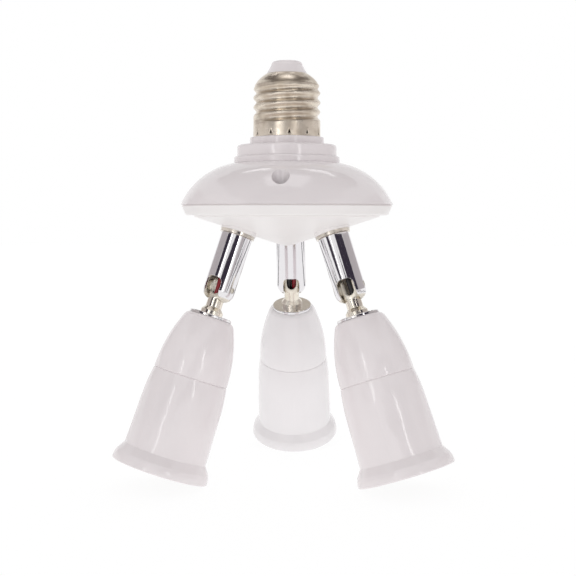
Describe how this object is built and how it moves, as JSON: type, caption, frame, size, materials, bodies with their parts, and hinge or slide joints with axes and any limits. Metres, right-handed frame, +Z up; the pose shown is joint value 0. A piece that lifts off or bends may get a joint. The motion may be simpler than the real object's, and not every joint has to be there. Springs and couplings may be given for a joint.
{
  "type": "lamp socket adapter",
  "caption": "Screw-cap lamp adapter: a white saucer housing with swivelling chrome arms, each with a bending knuckle and a flared bulb holder.",
  "frame": {"origin": "on the screw cap's axis where the metal cap shell meets the white neck", "axes": "+Z up along the cap's axis, as the adapter hangs from a ceiling holder or stands on its three rims; the picture looks along +Y"},
  "size_m": [0.1284, 0.1163, 0.1624],
  "materials": {
    "white_plastic": "satin white moulding",
    "nickel": "bright nickel plate, slightly warm",
    "chrome": "mirror chrome plate",
    "steel": "zinc plated",
    "brass": "bare stamped brass",
    "ceramic": "unglazed off-white",
    "red_insulation": "satin sleeve",
    "black_insulation": "satin sleeve"
  },
  "bodies": {
    "housing": {"upper_housing": "white_plastic", "lower_cover": "white_plastic", "cap_shell": "nickel", "cap_contact": "brass", "neutral_ring": "brass", "housing_screws": "steel", "live_leads": "red_insulation", "neutral_leads": "black_insulation"},
    "arm_left": {"tube_left": "chrome", "seat_ring_left": "nickel", "swivel_nut_left": "steel", "pivot_pins_left": "chrome", "live_wire_left": "red_insulation", "neutral_wire_left": "black_insulation"},
    "holder_left": {"knuckle_left": "nickel", "washer_left": "nickel", "lock_nut_left": "steel", "holder_cap_left": "white_plastic", "holder_sleeve_left": "white_plastic", "screw_shell_left": "nickel", "contact_base_left": "ceramic", "contact_tongue_left": "brass", "contact_rivets_left": "brass"},
    "arm_right": {"tube_right": "chrome", "seat_ring_right": "nickel", "swivel_nut_right": "steel", "pivot_pins_right": "chrome", "live_wire_right": "red_insulation", "neutral_wire_right": "black_insulation"},
    "holder_right": {"knuckle_right": "nickel", "washer_right": "nickel", "lock_nut_right": "steel", "holder_cap_right": "white_plastic", "holder_sleeve_right": "white_plastic", "screw_shell_right": "nickel", "contact_base_right": "ceramic", "contact_tongue_right": "brass", "contact_rivets_right": "brass"},
    "arm_back": {"tube_back": "chrome", "seat_ring_back": "nickel", "swivel_nut_back": "steel", "pivot_pins_back": "chrome", "live_wire_back": "red_insulation", "neutral_wire_back": "black_insulation"},
    "holder_back": {"knuckle_back": "nickel", "washer_back": "nickel", "lock_nut_back": "steel", "holder_cap_back": "white_plastic", "holder_sleeve_back": "white_plastic", "screw_shell_back": "nickel", "contact_base_back": "ceramic", "contact_tongue_back": "brass", "contact_rivets_back": "brass"}
  },
  "joints": [
    {"name": "swivel_left", "type": "hinge", "parent": "housing", "child": "arm_left", "pos_m": [-0.02479, -0.01431, -0.05798], "axis": [0.2962, 0.171, 0.9397], "range_deg": [-25, 319]},
    {"name": "bend_left", "type": "hinge", "parent": "arm_left", "child": "holder_left", "pos_m": [-0.02479, -0.01431, -0.05798], "axis": [-0.8626, 0.4704, 0.1863], "range_deg": [0, 90], "deforming": ["live_wire_left", "neutral_wire_left"]},
    {"name": "swivel_right", "type": "hinge", "parent": "housing", "child": "arm_right", "pos_m": [0.02479, -0.01431, -0.05798], "axis": [-0.2962, 0.171, 0.9397], "range_deg": [-279, 65]},
    {"name": "bend_right", "type": "hinge", "parent": "arm_right", "child": "holder_right", "pos_m": [0.02479, -0.01431, -0.05798], "axis": [-0.9244, 0.1961, -0.3271], "range_deg": [0, 90], "deforming": ["live_wire_right", "neutral_wire_right"]},
    {"name": "swivel_back", "type": "hinge", "parent": "housing", "child": "arm_back", "pos_m": [0, 0.02863, -0.05798], "axis": [0, -0.342, 0.9397], "range_deg": [-174.5, 169.5]},
    {"name": "bend_back", "type": "hinge", "parent": "arm_back", "child": "holder_back", "pos_m": [0, 0.02863, -0.05798], "axis": [-0.999, -0.041, -0.0149], "range_deg": [0, 90], "deforming": ["live_wire_back", "neutral_wire_back"]}
  ]
}
